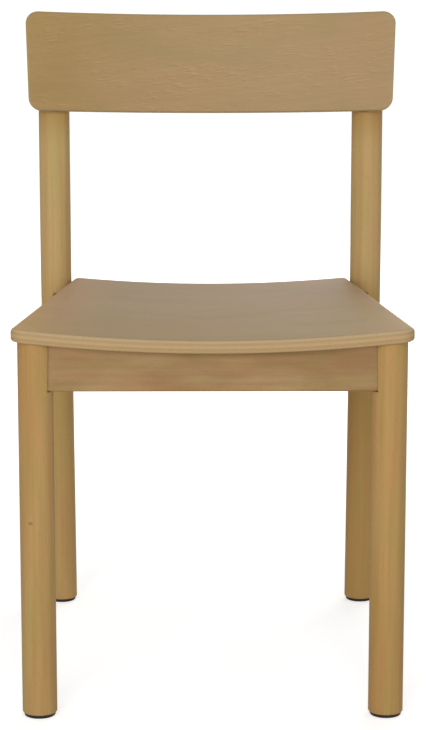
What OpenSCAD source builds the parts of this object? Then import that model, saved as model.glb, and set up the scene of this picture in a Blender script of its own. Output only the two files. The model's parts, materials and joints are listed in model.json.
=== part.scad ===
// Side chair with round legs, a bent plywood seat and a bent plywood backrest board.
// The origin is on the floor under the middle of the chair, the front faces -Y and +Z is up.
// Left is the -X side, as someone facing the chair sees it.

/* [Overall] */
// Height of the seat's top face on the centre line, over the front legs
seat_height = 442; // [425:1:465]
// Height from the seat's top face to the middle of the backrest board, taken on the posts
backrest_rise = 276; // [255:1:300]
// Distance between the axes of the two front legs
front_leg_spacing = 399; // [385:1:415]
// Distance between the axes of the two back posts at their bend
back_post_spacing = 405; // [391:1:421]
// Distance from the front legs' axes back to the posts' axes at their bend
frame_depth = 455; // [435:1:470]

/* [Legs and posts] */
// Diameter of the front legs and of the back posts
leg_d = 40; // [38:0.5:44]
// Lean of the posts' lower part, in degrees, with the feet set back
post_kick = 1.5; // [0.5:0.25:3]
// Lean of the posts' upper part, in degrees, backwards
post_rake = 4; // [3:0.25:6]
// Outward lean of the posts, in degrees
post_splay = 0.25; // [0.1:0.05:0.6]
// Height of the posts' bend above the seat's top face
bend_rise = 8; // [4:1:20]
// Radius of the posts' bend along the axis
bend_radius = 300; // [200:10:500]
// How far the posts end below the top edge of the backrest board
post_drop = 17; // [12:1:20]
// Rounding of the posts' upper ends
post_top_round = 5; // [2:0.5:8]
// Chamfer round the foot of each leg and post
foot_chamfer = 1.5; // [0.5:0.25:3]

/* [Seat] */
// Thickness of the seat panel
seat_t = 15; // [14:0.5:18]
// Radius of the seat's hollow, across the chair
seat_bend_r = 1900; // [1600:50:2600]
// Backward slope of the seat and its rails, in degrees
seat_slope = 1.3; // [0.5:0.1:2.5]
// How far the seat's front edge stands out before the front legs
seat_front_overhang = 5; // [3:0.5:12]
// How far the seat's front corners stand out beside the front legs
seat_side_overhang = 8; // [2:0.5:12]
// Space between the seat's rear corners and the posts, on each side
seat_post_gap = 4; // [3:0.5:10]
// Width of the strip of the back rail that the seat lies on
seat_bearing = 16; // [9:0.5:18]
// Corner radius at the front of the seat
seat_front_round = 16; // [10:1:30]
// Corner radius at the back of the seat
seat_back_round = 12; // [8:1:20]

/* [Rails] */
// Height of the rails below the middle of the seat
rail_h = 45; // [42:1:60]
// Thickness of the front rail and of the back rail
rail_t = 22; // [19:0.5:23]
// Thickness of the two side rails
side_rail_t = 18; // [16:0.5:19]
// How far the side rails' middle lies inside the front legs' axes
side_rail_inset = 3.5; // [3:0.25:5]
// Height of the side rails' flat top above the middle of the seat's underside
side_rail_rise = 5; // [4.5:0.25:6]
// Rounding of the rails' lower edges
rail_round = 3; // [1:0.5:5]
// Depth of the flat-bottomed housings that the legs have for the rails
housing_depth = 8.5; // [8:0.25:9.25]
// Clearance on each side of a rail in its housing
housing_gap = 0.1; // [0.05:0.05:0.3]

/* [Dowels] */
// Diameter of the rail dowels
dowel_d = 8; // [6:0.5:8.5]
// Length of each dowel on either side of its joint
dowel_reach = 17; // [12:1:19]
// Height between the two dowels of one joint
dowel_pitch = 24; // [22:0.5:26]
// Height by which the side rails' dowels stand above the others
dowel_stagger = 10; // [9.25:0.25:11]
// Height of the lowest dowels above the rails' lower edge
dowel_base = 8; // [7:0.5:9]
// Clearance round a dowel or a screw thread in the wood
pin_gap = 0.05; // [0.03:0.01:0.1]
// Free space left at each end of a dowel
dowel_end_gap = 0.8; // [0.4:0.1:1.5]

/* [Corner blocks] */
// Length of the corner blocks along each rail
block_side = 58; // [50:1:66]
// Part of the inner corner that each block leaves free for the leg
block_clip = 18; // [16:1:22]
// Thickness of a block at its two ends
block_wing = 12; // [9:0.5:14]
// Depth of the corner blocks below the middle of the seat
block_h = 26; // [20:1:32]

/* [Fasteners] */
// Diameter of the screws that hold the corner blocks
block_screw_d = 4; // [3.5:0.25:5]
// Depth of the block screws' thread in the rails
block_screw_bite = 13; // [9:0.5:14]
// Thickness of wood under the block screws' heads
block_screw_seat = 14; // [10:0.5:15]
// Diameter of the screws that hold the seat
seat_screw_d = 5; // [4:0.5:6]
// Length of the threaded inserts in the seat
seat_insert_l = 10; // [8:0.5:11]
// Diameter of the bolts that hold the backrest board
back_bolt_d = 6; // [5:0.5:6.5]
// Height between the two bolts in each post
back_bolt_pitch = 64; // [50:1:70]
// Thickness of the post under the bolts' washers
back_bolt_grip = 20; // [17:0.5:21]
// Length of the threaded inserts in the backrest board
back_insert_l = 9; // [7:0.5:9.5]
// Diameter of the wooden plugs over the bolt heads
plug_d = 15; // [14:0.5:17]
// Thickness of the washers
washer_t = 1.2; // [0.8:0.1:2]

/* [Backrest] */
// Thickness of the backrest board
board_t = 12; // [11:0.5:14]
// Height of the backrest board along its face
board_h = 127; // [115:1:140]
// Width of the backrest board at its top edge
board_top_w = 475; // [462:1:490]
// Width of the backrest board at its bottom edge
board_bottom_w = 466; // [456:1:480]
// Radius of the board's hollow front face
board_bend_r = 655; // [560:5:800]
// Lean of the backrest board, in degrees, backwards
board_rake = 9; // [7:0.25:11]
// Corner radius of the backrest board
board_round = 16; // [8:1:25]
// Depth of the housing for the board in the posts, at its middle
board_housing = 6; // [5:0.5:8]

/* [Glides] */
// Diameter of the plastic glides under the feet
glide_d = 36; // [30:0.5:36.5]
// Thickness of the glides
glide_h = 4; // [3:0.25:6]
// Rounding of the glides' lower rim
glide_round = 1.5; // [0.5:0.25:2]
// Diameter of the nails that hold the glides
nail_d = 2.5; // [2:0.25:3.5]
// Depth of the nails in the wood
nail_bite = 18; // [12:1:25]

/* [Hidden] */
// Facets of small round pieces, of legs and of the large bent faces in the preview
$fn = 64;
leg_fn = 120;
bend_fn = 720;
// Depth by which a cut runs past the face it opens
over = 1;
// Size of a cut that only has to clear a piece
clear = 60;
// By how much the outlines' corner roundings ease over their straight sides
corner_ease = 0.05;
// By how much the posts' bend is fuller than their straight lengths, which end inside it
bend_skin = 0.1;
bend_lap = 2;

leg_r = leg_d / 2;
housing_flat = leg_r - housing_depth;

// Seat frame: the rails and the seat share one frame that slopes back with the seat
under_z = seat_height - seat_t;
rail_mid_z = under_z - rail_h / 2 - frame_depth * sin(seat_slope);
bend_z = seat_height + bend_rise;
front_x = front_leg_spacing / 2;
post_x = back_post_spacing / 2;
rail_post_x = post_x - (bend_z - rail_mid_z) * tan(post_splay);
rail_post_y = frame_depth + (bend_z - rail_mid_z) * tan(post_kick) + rail_h / 2 * sin(seat_slope);
side_x = front_x - side_rail_inset;
side_inner_x = side_x - side_rail_t / 2;
// Height of the front and back rail before the seat's hollow trims them, and of the side rails
rail_blank = rail_h + clear;
side_rail_h = rail_h + side_rail_rise;
seat_rise = seat_bend_r + seat_t;

// Seat outline
seat_front_y = -leg_r - seat_front_overhang;
seat_rear_y = rail_post_y - rail_t / 2 + seat_bearing;
seat_front_half = front_x + leg_r + seat_side_overhang;
seat_rear_half = post_x - leg_r - seat_post_gap;
seat_corners = [[-seat_front_half, seat_front_y], [seat_front_half, seat_front_y],
    [seat_rear_half, seat_rear_y], [-seat_rear_half, seat_rear_y]];
seat_corner_r = [seat_front_round, seat_front_round, seat_back_round, seat_back_round];

// Posts: two straight lengths with one bend
bend_angle = post_kick + post_rake;
bend_tangent = bend_radius * tan(bend_angle / 2);
foot_x = post_x - (bend_z - glide_h) * tan(post_splay);
foot_y = frame_depth + (bend_z - glide_h) * tan(post_kick) / cos(post_splay);

// Backrest board: its bend is centred on an axis that leans with the board
board_corners = [[-board_bottom_w / 2, -board_h / 2], [board_bottom_w / 2, -board_h / 2],
    [board_top_w / 2, board_h / 2], [-board_top_w / 2, board_h / 2]];
board_corner_r = [board_round, board_round, board_round, board_round];
board_post_z = seat_height + backrest_rise;
board_back_r = board_bend_r + board_t;
board_post_x = post_x + (board_post_z - bend_z) * tan(post_splay);
board_post_y = frame_depth + (board_post_z - bend_z) * tan(post_rake) / cos(post_splay);
board_post_r = board_back_r + leg_r - board_housing;
board_reach = sqrt(board_post_r * board_post_r - board_post_x * board_post_x);
board_axis_y = board_post_y - board_reach * cos(board_rake);
board_axis_z = board_post_z + board_reach * sin(board_rake);
board_bolt_angle = asin(board_post_x / board_post_r);
post_top_z = board_post_z + board_h / 2 * cos(board_rake) - post_drop;
post_upper = (post_top_z - bend_z) / cos(post_rake) - bend_tangent + bend_lap;
post_lower = bend_z / cos(post_kick) - bend_tangent + bend_lap + over;

// The whole chair is moved so that the origin is under the middle of its length
rear_y = board_axis_y + board_back_r * cos(board_rake) + board_h / 2 * sin(board_rake);
origin_y = -(rear_y + seat_front_y) / 2;

// Dowel heights below the middle of the seat
rail_dowels = [-rail_h + dowel_base, -rail_h + dowel_base + dowel_pitch];
side_dowels = [for (z = rail_dowels) z + dowel_stagger];

// Heads of the screws and bolts, against their diameters, and the sockets in them
head_share = 1.8;
head_rise = 0.65;
socket_share = 0.5;
socket_depth = 0.55;
block_head_d = head_share * block_screw_d;
block_head_h = head_rise * block_screw_d;
seat_head_d = head_share * seat_screw_d;
seat_head_h = head_rise * seat_screw_d;
back_head_d = head_share * back_bolt_d;
back_head_h = head_rise * back_bolt_d;
// Walls of the threaded inserts, rims of the washers and play of a screw or bolt in its hole
insert_wall = 1.5;
seat_washer_rim = 5;
back_washer_rim = 4;
washer_play = 0.3;
seat_washer_d = seat_screw_d + 2 * seat_washer_rim;
back_washer_d = back_bolt_d + 2 * back_washer_rim;
seat_insert_d = seat_screw_d + 2 * insert_wall;
back_insert_d = back_bolt_d + 2 * insert_wall;
// Distance from the inner corner of two rails to a block's seat screw and rail screws
seat_screw_share = 0.42;
block_screw_share = 0.8;
seat_screw_at = block_side * seat_screw_share;
block_screw_at = block_side * block_screw_share;
block_screw_z = -block_h / 2;
// Height of the seat's underside over a seat screw, and the depth its insert is sunk
seat_screw_x = side_inner_x - seat_screw_at;
seat_screw_top = seat_rise - sqrt(seat_rise * seat_rise - seat_screw_x * seat_screw_x);
insert_sink = 0.5;
// Nail heads lie in a recess, clear of the floor
nail_head_rim = 2.75;
nail_head_h = 1.2;
nail_recess_h = 1.8;
nail_recess_play = 1;
nail_head_d = nail_d + 2 * nail_head_rim;
nail_recess_d = nail_head_d + 2 * nail_recess_play;

// Frames

module chair_frame() {
    translate([0, origin_y, 0])
        children();
}

module seat_frame() {
    translate([0, 0, under_z])
        rotate([-seat_slope, 0, 0])
            children();
}

module board_frame() {
    translate([0, board_axis_y, board_axis_z])
        rotate([-board_rake, 0, 0])
            children();
}

module post_frame() {
    translate([post_x, frame_depth, bend_z])
        rotate([0, post_splay, 0])
            children();
}

// One of the two bolt places of the right post, with +Y along the bolt towards the back
module bolt_place(i) {
    board_frame()
        rotate([0, 0, -board_bolt_angle])
            translate([0, board_back_r, i * back_bolt_pitch / 2])
                rotate([-90, 0, 0])
                    children();
}

module bolt_places() {
    for (side = [-1, 1])
        for (i = [-1, 1])
            on_side(side)
                bolt_place(i)
                    children();
}

// A right-hand piece drawn as it is or mirrored to the left
module on_side(side) {
    if (side > 0) {
        children();
    } else {
        mirror([1, 0, 0])
            children();
    }
}

// The inner corner of two rails, with +X towards the middle and +Y along the side rail
module rail_corner(side, back) {
    on_side(side) {
        if (back) {
            translate([side_inner_x, rail_post_y - rail_t / 2, 0])
                rotate([0, 0, 180])
                    children();
        } else {
            translate([side_inner_x, rail_t / 2, 0])
                mirror([1, 0, 0])
                    children();
        }
    }
}

// Outlines

function unit(v) = v / norm(v);
function half_angle(a, p, b) = acos(unit(a - p) * unit(b - p)) / 2;
function corner_centre(a, p, b, r) = p + unit(unit(a - p) + unit(b - p)) * r / sin(half_angle(a, p, b));
function touch_point(a, p, b, r) = p + unit(a - p) * r / tan(half_angle(a, p, b));

// The area that rounds the convex outline p at its corners, with the radii r
module corner_cuts(p, r) {
    n = len(p);
    for (i = [0:n - 1])
        corner_cut(p[(i + n - 1) % n], p[i], p[(i + 1) % n], r[i]);
}

// The area outside the rounding of the corner p between its neighbours a and b
module corner_cut(a, p, b, r) {
    c = corner_centre(a, p, b, r);
    from = touch_point(a, p, b, r);
    to = touch_point(b, p, a, r);
    difference() {
        polygon([c, from + unit(from - c) * over,
            p + unit(p - c) * 2 * over, to + unit(to - c) * over]);
        translate(c)
            circle(r = r + corner_ease);
    }
}

// Cross-section of a rail, with its lower edges rounded
module rail_section(t, h) {
    translate([-t / 2, rail_round - rail_h])
        square([t, h - rail_round]);
    translate([-t / 2 + rail_round, -rail_h])
        square([t - 2 * rail_round, h]);
    for (s = [-1, 1])
        translate([s * (t / 2 - rail_round), rail_round - rail_h])
            circle(r = rail_round);
}

// Cuts shared by neighbouring pieces

// Everything above the seat's underside, drawn in the seat frame
module seat_hollow_cut() {
    translate([0, seat_front_y - clear, seat_rise])
        rotate([-90, 0, 0])
            cylinder(r = seat_rise, h = seat_rear_y - seat_front_y + 2 * clear, $fn = bend_fn);
}

// Ring cut that leaves the chamfer round a foot
module foot_chamfer_cut() {
    difference() {
        translate([0, 0, -over])
            cylinder(r = leg_r + clear, h = over + foot_chamfer + over);
        translate([0, 0, -over])
            cylinder(r1 = leg_r - foot_chamfer - over, r2 = leg_r + 2 * over, h = foot_chamfer + 3 * over);
    }
}

// Dowel holes or dowels along +X, centred on a joint
module dowel_pair(heights, d, reach) {
    for (z = heights)
        translate([-reach, 0, z])
            rotate([0, 90, 0])
                cylinder(d = d, h = 2 * reach);
}

// The right end of the front rail or of the back rail
module rail_end(back) {
    translate([back ? rail_post_x - housing_flat : front_x - housing_flat, back ? rail_post_y : 0, 0])
        children();
}

// The front or back end of the right side rail, with +X towards the leg
module side_rail_end(back) {
    translate([side_x, back ? rail_post_y - housing_flat : housing_flat, 0])
        rotate([0, 0, back ? 90 : -90])
            children();
}

module dowel_holes(heights) {
    dowel_pair(heights, dowel_d + 2 * pin_gap, dowel_reach + dowel_end_gap);
}

// Housings and dowel holes in one leg or post, drawn in the seat frame for the right side
module rail_housings(back) {
    rail_end(back)
        housing_cut(rail_t, rail_blank);
    side_rail_end(back)
        housing_cut(side_rail_t, side_rail_h);
    rail_end(back)
        dowel_holes(rail_dowels);
    side_rail_end(back)
        dowel_holes(side_dowels);
}

module housing_cut(t, h) {
    translate([-clear, -t / 2 - housing_gap, -rail_h - housing_gap])
        cube([clear, t + 2 * housing_gap, h + 2 * housing_gap]);
}

module nail_hole() {
    translate([0, 0, -over])
        cylinder(d = nail_d + 2 * pin_gap, h = over + nail_bite + over);
}

// Legs and posts

module front_leg(side) {
    color("burlywood")
        chair_frame()
            on_side(side)
                difference() {
                    translate([front_x, 0, glide_h])
                        cylinder(r = leg_r, h = under_z + clear / 2 - glide_h, $fn = leg_fn);
                    translate([front_x, 0, glide_h])
                        foot_chamfer_cut();
                    translate([front_x, 0, glide_h])
                        nail_hole();
                    seat_frame()
                        seat_hollow_cut();
                    seat_frame()
                        rail_housings(false);
                }
}

// Upper end of a post with a rounded rim
module post_head() {
    cylinder(r = leg_r, h = post_upper - post_top_round, $fn = leg_fn);
    translate([0, 0, post_upper - post_top_round])
        rotate_extrude($fn = leg_fn) {
            square([leg_r - post_top_round, post_top_round]);
            intersection() {
                translate([leg_r - post_top_round, 0])
                    circle(r = post_top_round);
                square([leg_r, post_top_round]);
            }
        }
}

// The bent rod of the right post, running a little below the floor
module post_rod() {
    post_frame() {
        rotate([-post_rake, 0, 0])
            translate([0, 0, bend_tangent - bend_lap])
                post_head();
        rotate([post_kick, 0, 0])
            translate([0, 0, bend_lap - bend_tangent - post_lower])
                cylinder(r = leg_r, h = post_lower, $fn = leg_fn);
        translate([0, bend_tangent * sin(post_rake) + bend_radius * cos(post_rake),
            bend_tangent * cos(post_rake) - bend_radius * sin(post_rake)])
            rotate([90, 0, 90])
                rotate([0, 0, 180 - post_rake])
                    rotate_extrude(angle = bend_angle, $fn = bend_fn)
                        translate([bend_radius, 0])
                            circle(r = leg_r + bend_skin, $fn = leg_fn);
    }
}

module back_post(side) {
    color("burlywood")
        chair_frame()
            on_side(side)
                difference() {
                    post_rod();
                    translate([foot_x - clear, foot_y - clear, -clear])
                        cube([2 * clear, 2 * clear, clear + glide_h]);
                    translate([foot_x, foot_y, glide_h])
                        foot_chamfer_cut();
                    translate([foot_x, foot_y, glide_h])
                        nail_hole();
                    seat_frame()
                        post_rail_housings();
                    board_frame()
                        board_housing_cut();
                    for (i = [-1, 1])
                        bolt_place(i)
                            bolt_hole();
                }
}

// The posts run on past the rails, so their housings are closed at the top
module post_rail_housings() {
    difference() {
        rail_housings(true);
        seat_hollow_cut();
    }
}

// Everything in front of the board's back face, from its bottom edge upwards
module board_housing_cut() {
    translate([0, 0, -board_h / 2 - housing_gap])
        cylinder(r = board_back_r, h = board_h + clear, $fn = bend_fn);
}

module bolt_hole() {
    translate([0, 0, -over])
        cylinder(d = back_bolt_d + 2 * washer_play, h = back_bolt_grip + 2 * over);
    translate([0, 0, back_bolt_grip])
        cylinder(d = plug_d, h = clear);
}

// Rails

module cross_rail(back) {
    half = (back ? rail_post_x : front_x) - housing_flat;
    color("peru")
        chair_frame()
            seat_frame()
                difference() {
                    translate([-half, back ? rail_post_y : 0, 0])
                        rotate([90, 0, 90])
                            linear_extrude(2 * half)
                                rail_section(rail_t, rail_blank);
                    seat_hollow_cut();
                    for (side = [-1, 1]) {
                        on_side(side)
                            rail_end(back)
                                dowel_holes(rail_dowels);
                        rail_corner(side, back)
                            cross_screw_place()
                                screw_pilot();
                    }
                }
}

module side_rail(side) {
    color("peru")
        chair_frame()
            on_side(side)
                seat_frame()
                    difference() {
                        translate([side_x, rail_post_y - housing_flat, 0])
                            rotate([90, 0, 0])
                                linear_extrude(rail_post_y - 2 * housing_flat)
                                    rail_section(side_rail_t, side_rail_h);
                        for (back = [false, true]) {
                            side_rail_end(back)
                                dowel_holes(side_dowels);
                            rail_corner(1, back)
                                side_screw_place()
                                    screw_pilot();
                        }
                    }
}

// Places of the two rail screws of a corner block, with +Z out of the rail
module cross_screw_place() {
    translate([block_screw_at, 0, block_screw_z])
        rotate([-90, 0, 0])
            children();
}

module side_screw_place() {
    translate([0, block_screw_at, block_screw_z])
        rotate([0, 90, 0])
            children();
}

module screw_pilot() {
    translate([0, 0, -block_screw_bite - over])
        cylinder(d = block_screw_d + 2 * pin_gap, h = block_screw_bite + 2 * over);
}

// Seat

module seat_panel() {
    color("tan")
        chair_frame()
            seat_frame()
                difference() {
                    intersection() {
                        translate([0, 0, -over])
                            linear_extrude(clear)
                                polygon(seat_corners);
                        translate([0, seat_front_y - over, seat_rise])
                            rotate([-90, 0, 0])
                                cylinder(r = seat_rise, h = seat_rear_y - seat_front_y + 2 * over,
                                    $fn = bend_fn);
                    }
                    translate([0, seat_front_y - 2 * over, seat_rise])
                        rotate([-90, 0, 0])
                            cylinder(r = seat_bend_r, h = seat_rear_y - seat_front_y + 4 * over,
                                $fn = bend_fn);
                    translate([0, 0, -2 * over])
                        linear_extrude(clear + 2 * over)
                            corner_cuts(seat_corners, seat_corner_r);
                    seat_screw_places()
                        translate([0, 0, seat_screw_top - over])
                            cylinder(d = seat_insert_d + 2 * pin_gap, h = seat_insert_l + insert_sink + over);
                }
}

module seat_screw_places() {
    for (side = [-1, 1])
        for (back = [false, true])
            rail_corner(side, back)
                translate([seat_screw_at, seat_screw_at, 0])
                    children();
}

// Backrest board

module backrest_board() {
    color("tan")
        chair_frame()
            difference() {
                board_frame()
                    difference() {
                        intersection() {
                            translate([0, board_back_r + over, 0])
                                rotate([90, 0, 0])
                                    linear_extrude(board_back_r / 2)
                                        polygon(board_corners);
                            cylinder(r = board_back_r, h = board_h + 2 * over,
                                center = true, $fn = bend_fn);
                        }
                        cylinder(r = board_bend_r, h = board_h + 4 * over,
                            center = true, $fn = bend_fn);
                        translate([0, board_back_r + 2 * over, 0])
                            rotate([90, 0, 0])
                                linear_extrude(board_back_r / 2 + 2 * over)
                                    corner_cuts(board_corners, board_corner_r);
                    }
                bolt_places()
                    translate([0, 0, -back_insert_l - pin_gap])
                        cylinder(d = back_insert_d + 2 * pin_gap, h = back_insert_l + over);
            }
}

// Corner blocks

module block_plan() {
    polygon([[block_clip, 0], [block_side, 0], [block_side, block_wing],
        [block_wing, block_side], [0, block_side], [0, block_clip]]);
}

module block_screw_hole() {
    translate([0, 0, -over])
        cylinder(d = block_screw_d + 2 * washer_play, h = block_screw_seat + 2 * over);
    translate([0, 0, block_screw_seat])
        cylinder(d = block_head_d + 2 * washer_play, h = clear);
}

module corner_block(side, back) {
    color("saddlebrown")
        chair_frame()
            seat_frame()
                difference() {
                    rail_corner(side, back)
                        translate([0, 0, -block_h])
                            linear_extrude(block_h + clear / 2)
                                block_plan();
                    seat_hollow_cut();
                    rail_corner(side, back) {
                        cross_screw_place()
                            block_screw_hole();
                        side_screw_place()
                            block_screw_hole();
                        translate([seat_screw_at, seat_screw_at, -block_h - over])
                            cylinder(d = seat_screw_d + 2 * washer_play, h = block_h + clear);
                    }
                }
}

// Dowels

module cross_rail_dowels(back) {
    color("wheat")
        chair_frame()
            seat_frame()
                for (side = [-1, 1])
                    on_side(side)
                        rail_end(back)
                            dowel_pair(rail_dowels, dowel_d, dowel_reach);
}

module side_rail_dowels(side) {
    color("wheat")
        chair_frame()
            on_side(side)
                seat_frame()
                    for (back = [false, true])
                        side_rail_end(back)
                            dowel_pair(side_dowels, dowel_d, dowel_reach);
}

// Fasteners

// A round head with a hexagon socket, its bearing face at z = 0 and its top towards +Z
module socket_head(d, h) {
    difference() {
        cylinder(d = d, h = h);
        translate([0, 0, h * (1 - socket_depth)])
            cylinder(d = d * socket_share, h = h, $fn = 6);
    }
}

module washer(outer, inner) {
    difference() {
        cylinder(d = outer, h = washer_t);
        translate([0, 0, -over])
            cylinder(d = inner, h = washer_t + 2 * over);
    }
}

module threaded_insert(outer, inner, length) {
    difference() {
        cylinder(d = outer, h = length);
        translate([0, 0, -over])
            cylinder(d = inner, h = length + 2 * over);
    }
}

module block_screw() {
    translate([0, 0, -block_screw_bite])
        cylinder(d = block_screw_d, h = block_screw_bite + block_screw_seat);
    translate([0, 0, block_screw_seat])
        socket_head(block_head_d, block_head_h);
}

module corner_block_screws() {
    color("silver")
        chair_frame()
            seat_frame()
                for (side = [-1, 1])
                    for (back = [false, true])
                        rail_corner(side, back) {
                            cross_screw_place()
                                block_screw();
                            side_screw_place()
                                block_screw();
                        }
}

module seat_screws() {
    color("silver")
        chair_frame()
            seat_frame()
                seat_screw_places()
                    translate([0, 0, -block_h - washer_t]) {
                        cylinder(d = seat_screw_d, h = washer_t + block_h + seat_screw_top + seat_insert_l);
                        mirror([0, 0, 1])
                            socket_head(seat_head_d, seat_head_h);
                    }
}

module seat_washers() {
    color("gray")
        chair_frame()
            seat_frame()
                seat_screw_places()
                    translate([0, 0, -block_h - washer_t])
                        washer(seat_washer_d, seat_screw_d + 2 * washer_play);
}

module seat_inserts() {
    color("gold")
        chair_frame()
            seat_frame()
                seat_screw_places()
                    translate([0, 0, seat_screw_top + insert_sink])
                        threaded_insert(seat_insert_d, seat_screw_d + 2 * pin_gap, seat_insert_l);
}

module backrest_bolts() {
    color("silver")
        chair_frame()
            bolt_places() {
                translate([0, 0, -back_insert_l + over])
                    cylinder(d = back_bolt_d, h = back_insert_l - over + back_bolt_grip + washer_t);
                translate([0, 0, back_bolt_grip + washer_t])
                    socket_head(back_head_d, back_head_h);
            }
}

module backrest_washers() {
    color("gray")
        chair_frame()
            bolt_places()
                translate([0, 0, back_bolt_grip])
                    washer(back_washer_d, back_bolt_d + 2 * washer_play);
}

module backrest_inserts() {
    color("gold")
        chair_frame()
            bolt_places()
                translate([0, 0, -back_insert_l])
                    threaded_insert(back_insert_d, back_bolt_d + 2 * pin_gap, back_insert_l);
}

// Wooden plugs over the bolt heads, cut flush with the round back of the posts
module backrest_plugs() {
    color("wheat")
        chair_frame()
            for (side = [-1, 1])
                for (i = [-1, 1])
                    on_side(side)
                        intersection() {
                            post_rod();
                            bolt_place(i)
                                translate([0, 0, back_bolt_grip + washer_t + back_head_h])
                                    cylinder(d = plug_d - 2 * pin_gap, h = clear);
                        }
}

// Glides

module glide() {
    difference() {
        rotate_extrude() {
            translate([0, glide_round])
                square([glide_d / 2, glide_h - glide_round]);
            square([glide_d / 2 - glide_round, glide_round]);
            intersection() {
                translate([glide_d / 2 - glide_round, glide_round])
                    circle(r = glide_round);
                square([glide_d / 2, glide_round]);
            }
        }
        translate([0, 0, -over])
            cylinder(d = nail_recess_d, h = nail_recess_h + over);
        translate([0, 0, -over])
            cylinder(d = nail_d + 2 * pin_gap, h = glide_h + 2 * over);
    }
}

module foot_place(side, back) {
    translate([side * (back ? foot_x : front_x), back ? foot_y : 0, 0])
        children();
}

module foot_glide(side, back) {
    color("dimgray")
        chair_frame()
            foot_place(side, back)
                glide();
}

module glide_nails() {
    color("silver")
        chair_frame()
            for (side = [-1, 1])
                for (back = [false, true])
                    foot_place(side, back) {
                        translate([0, 0, nail_recess_h - nail_head_h])
                            cylinder(d = nail_head_d, h = nail_head_h);
                        translate([0, 0, nail_recess_h - over])
                            cylinder(d = nail_d, h = over + glide_h - nail_recess_h + nail_bite);
                    }
}

module front_left_leg() { front_leg(-1); }
module front_right_leg() { front_leg(1); }
module back_left_post() { back_post(-1); }
module back_right_post() { back_post(1); }
module front_rail() { cross_rail(false); }
module back_rail() { cross_rail(true); }
module left_side_rail() { side_rail(-1); }
module right_side_rail() { side_rail(1); }
module front_left_corner_block() { corner_block(-1, false); }
module front_right_corner_block() { corner_block(1, false); }
module back_left_corner_block() { corner_block(-1, true); }
module back_right_corner_block() { corner_block(1, true); }
module front_rail_dowels() { cross_rail_dowels(false); }
module back_rail_dowels() { cross_rail_dowels(true); }
module left_side_rail_dowels() { side_rail_dowels(-1); }
module right_side_rail_dowels() { side_rail_dowels(1); }
module front_left_glide() { foot_glide(-1, false); }
module front_right_glide() { foot_glide(1, false); }
module back_left_glide() { foot_glide(-1, true); }
module back_right_glide() { foot_glide(1, true); }

front_left_leg();
front_right_leg();
back_left_post();
back_right_post();
front_rail();
back_rail();
left_side_rail();
right_side_rail();
seat_panel();
backrest_board();
front_left_corner_block();
front_right_corner_block();
back_left_corner_block();
back_right_corner_block();
front_rail_dowels();
back_rail_dowels();
left_side_rail_dowels();
right_side_rail_dowels();
corner_block_screws();
seat_screws();
seat_washers();
seat_inserts();
backrest_bolts();
backrest_washers();
backrest_inserts();
backrest_plugs();
front_left_glide();
front_right_glide();
back_left_glide();
back_right_glide();
glide_nails();
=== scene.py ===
import json
import math

import bmesh
import bpy
from mathutils import Euler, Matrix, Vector

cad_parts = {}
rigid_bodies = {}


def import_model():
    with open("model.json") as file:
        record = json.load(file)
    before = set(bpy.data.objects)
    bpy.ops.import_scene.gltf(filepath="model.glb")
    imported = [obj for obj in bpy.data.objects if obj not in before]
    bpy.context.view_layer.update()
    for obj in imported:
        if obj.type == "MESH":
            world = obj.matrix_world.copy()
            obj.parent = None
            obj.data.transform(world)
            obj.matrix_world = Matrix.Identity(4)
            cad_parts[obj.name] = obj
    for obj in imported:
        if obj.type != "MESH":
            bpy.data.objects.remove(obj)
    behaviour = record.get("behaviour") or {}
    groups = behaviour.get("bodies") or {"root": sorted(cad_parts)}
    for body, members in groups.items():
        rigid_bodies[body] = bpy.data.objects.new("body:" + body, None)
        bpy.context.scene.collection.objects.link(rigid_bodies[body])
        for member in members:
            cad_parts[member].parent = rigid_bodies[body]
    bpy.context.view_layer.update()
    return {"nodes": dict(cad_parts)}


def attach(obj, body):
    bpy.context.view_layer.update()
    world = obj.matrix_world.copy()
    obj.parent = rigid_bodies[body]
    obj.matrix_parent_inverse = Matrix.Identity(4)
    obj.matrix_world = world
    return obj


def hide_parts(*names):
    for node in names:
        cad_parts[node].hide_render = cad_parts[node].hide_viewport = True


# Blender opens with a few objects of its own, which don't belong to the chair
for left_over in list(bpy.data.objects):
    bpy.data.objects.remove(left_over)
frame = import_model()
nodes = frame["nodes"]


# Front legs
# Two straight round legs, 40 mm thick, turned from steamed beech. Each has a small round arris at its
# foot, and two flat-bottomed housings at its head that take the ends of the front rail and of a side rail.
# They were sanded along the grain and given two coats of clear satin lacquer.

# All sizes are in metres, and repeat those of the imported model
LEG_RADIUS = 0.020
LEG_SIDES = 96
LEG_X = 0.1995
FRONT_Y = -0.237816
FOOT_Z = 0.004
FOOT_ARRIS = 0.0018
# The blanks are turned longer than the legs, and are sawn off along the seat's underside
LEG_BLANK_TOP = 0.5
# The rails and the seat share one frame, which slopes back with the seat. It starts between the axes of the
# front legs, at the middle of the seat's underside
SEAT_SLOPE = math.radians(1.3)
SEAT_ORIGIN = Vector((0, FRONT_Y, 0.427))
SEAT_TURN = Euler((-SEAT_SLOPE, 0, 0)).to_matrix()
UNDERSIDE_RADIUS = 1.915
# The rails in that frame: their height below the seat's middle, half the thickness of the front and back
# rails, the two faces of the right side rail, and the side rails' flat tops
RAIL_HEIGHT = 0.045
CROSS_RAIL_HALF = 0.011
SIDE_RAIL_INNER_X = 0.187
SIDE_RAIL_OUTER_X = 0.205
SIDE_RAIL_RISE = 0.005
# The housings' flat bottoms lie this far from a leg's axis. A shadow gap runs round each rail, and a wider
# one shows as a dark line down the front rail's joints
HOUSING_FLAT = 0.0115
SHADOW_GAP = 0.0005
JOINT_GAP = 0.002
# How far a cut runs out past the wood, and how close a point lies to a plane that it belongs to
CUT_REACH = 0.05
CLOSE = 0.0001
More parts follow.
